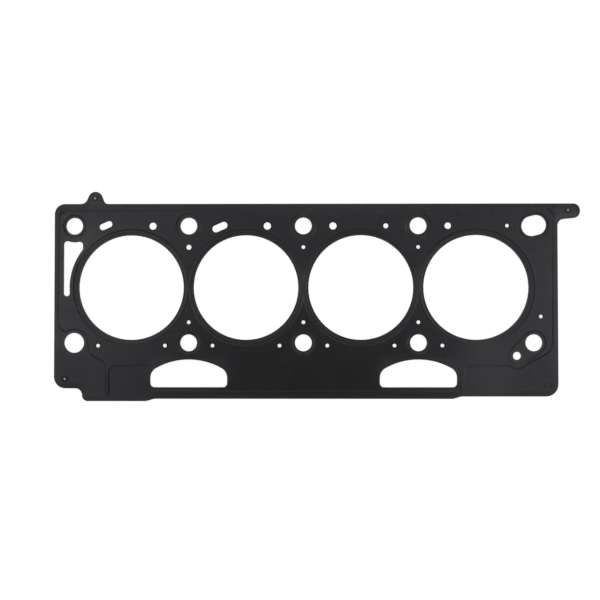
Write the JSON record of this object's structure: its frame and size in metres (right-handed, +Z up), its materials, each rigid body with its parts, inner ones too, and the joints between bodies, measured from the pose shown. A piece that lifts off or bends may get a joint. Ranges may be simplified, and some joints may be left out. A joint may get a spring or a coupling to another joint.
{
  "type": "cylinder head gasket",
  "caption": "Flat multi-layer steel cylinder head gasket: a long black-coated plate with round bores in a row, bolt and coolant holes, arched return windows, pressed beads and riveted ears.",
  "frame": {"origin": "centre of the gasket's footprint box, on the plane it lies on (the block face)", "axes": "+X along the row of bores, towards the end with the slotted dowel hole and the tab; +Y across, towards the edge with the ear and away from the return windows; +Z up through the layers, from the block to the head"},
  "size_m": [0.4078, 0.1628, 0.0018],
  "materials": {
    "coated_sheet": "satin black elastomer coat on spring steel",
    "carrier_steel": "cold-rolled steel; its finish is guessed, as only dark slivers of it show",
    "stopper_steel": "bare stainless strip",
    "rivet_steel": "bright plated steel"
  },
  "bodies": {
    "root": {"upper_active_layer": "coated_sheet", "carrier_layer": "carrier_steel", "lower_active_layer": "coated_sheet", "stopper_ring_1": "stopper_steel", "stopper_ring_2": "stopper_steel", "stopper_ring_3": "stopper_steel", "stopper_ring_4": "stopper_steel", "rivets": "rivet_steel"}
  },
  "joints": []
}
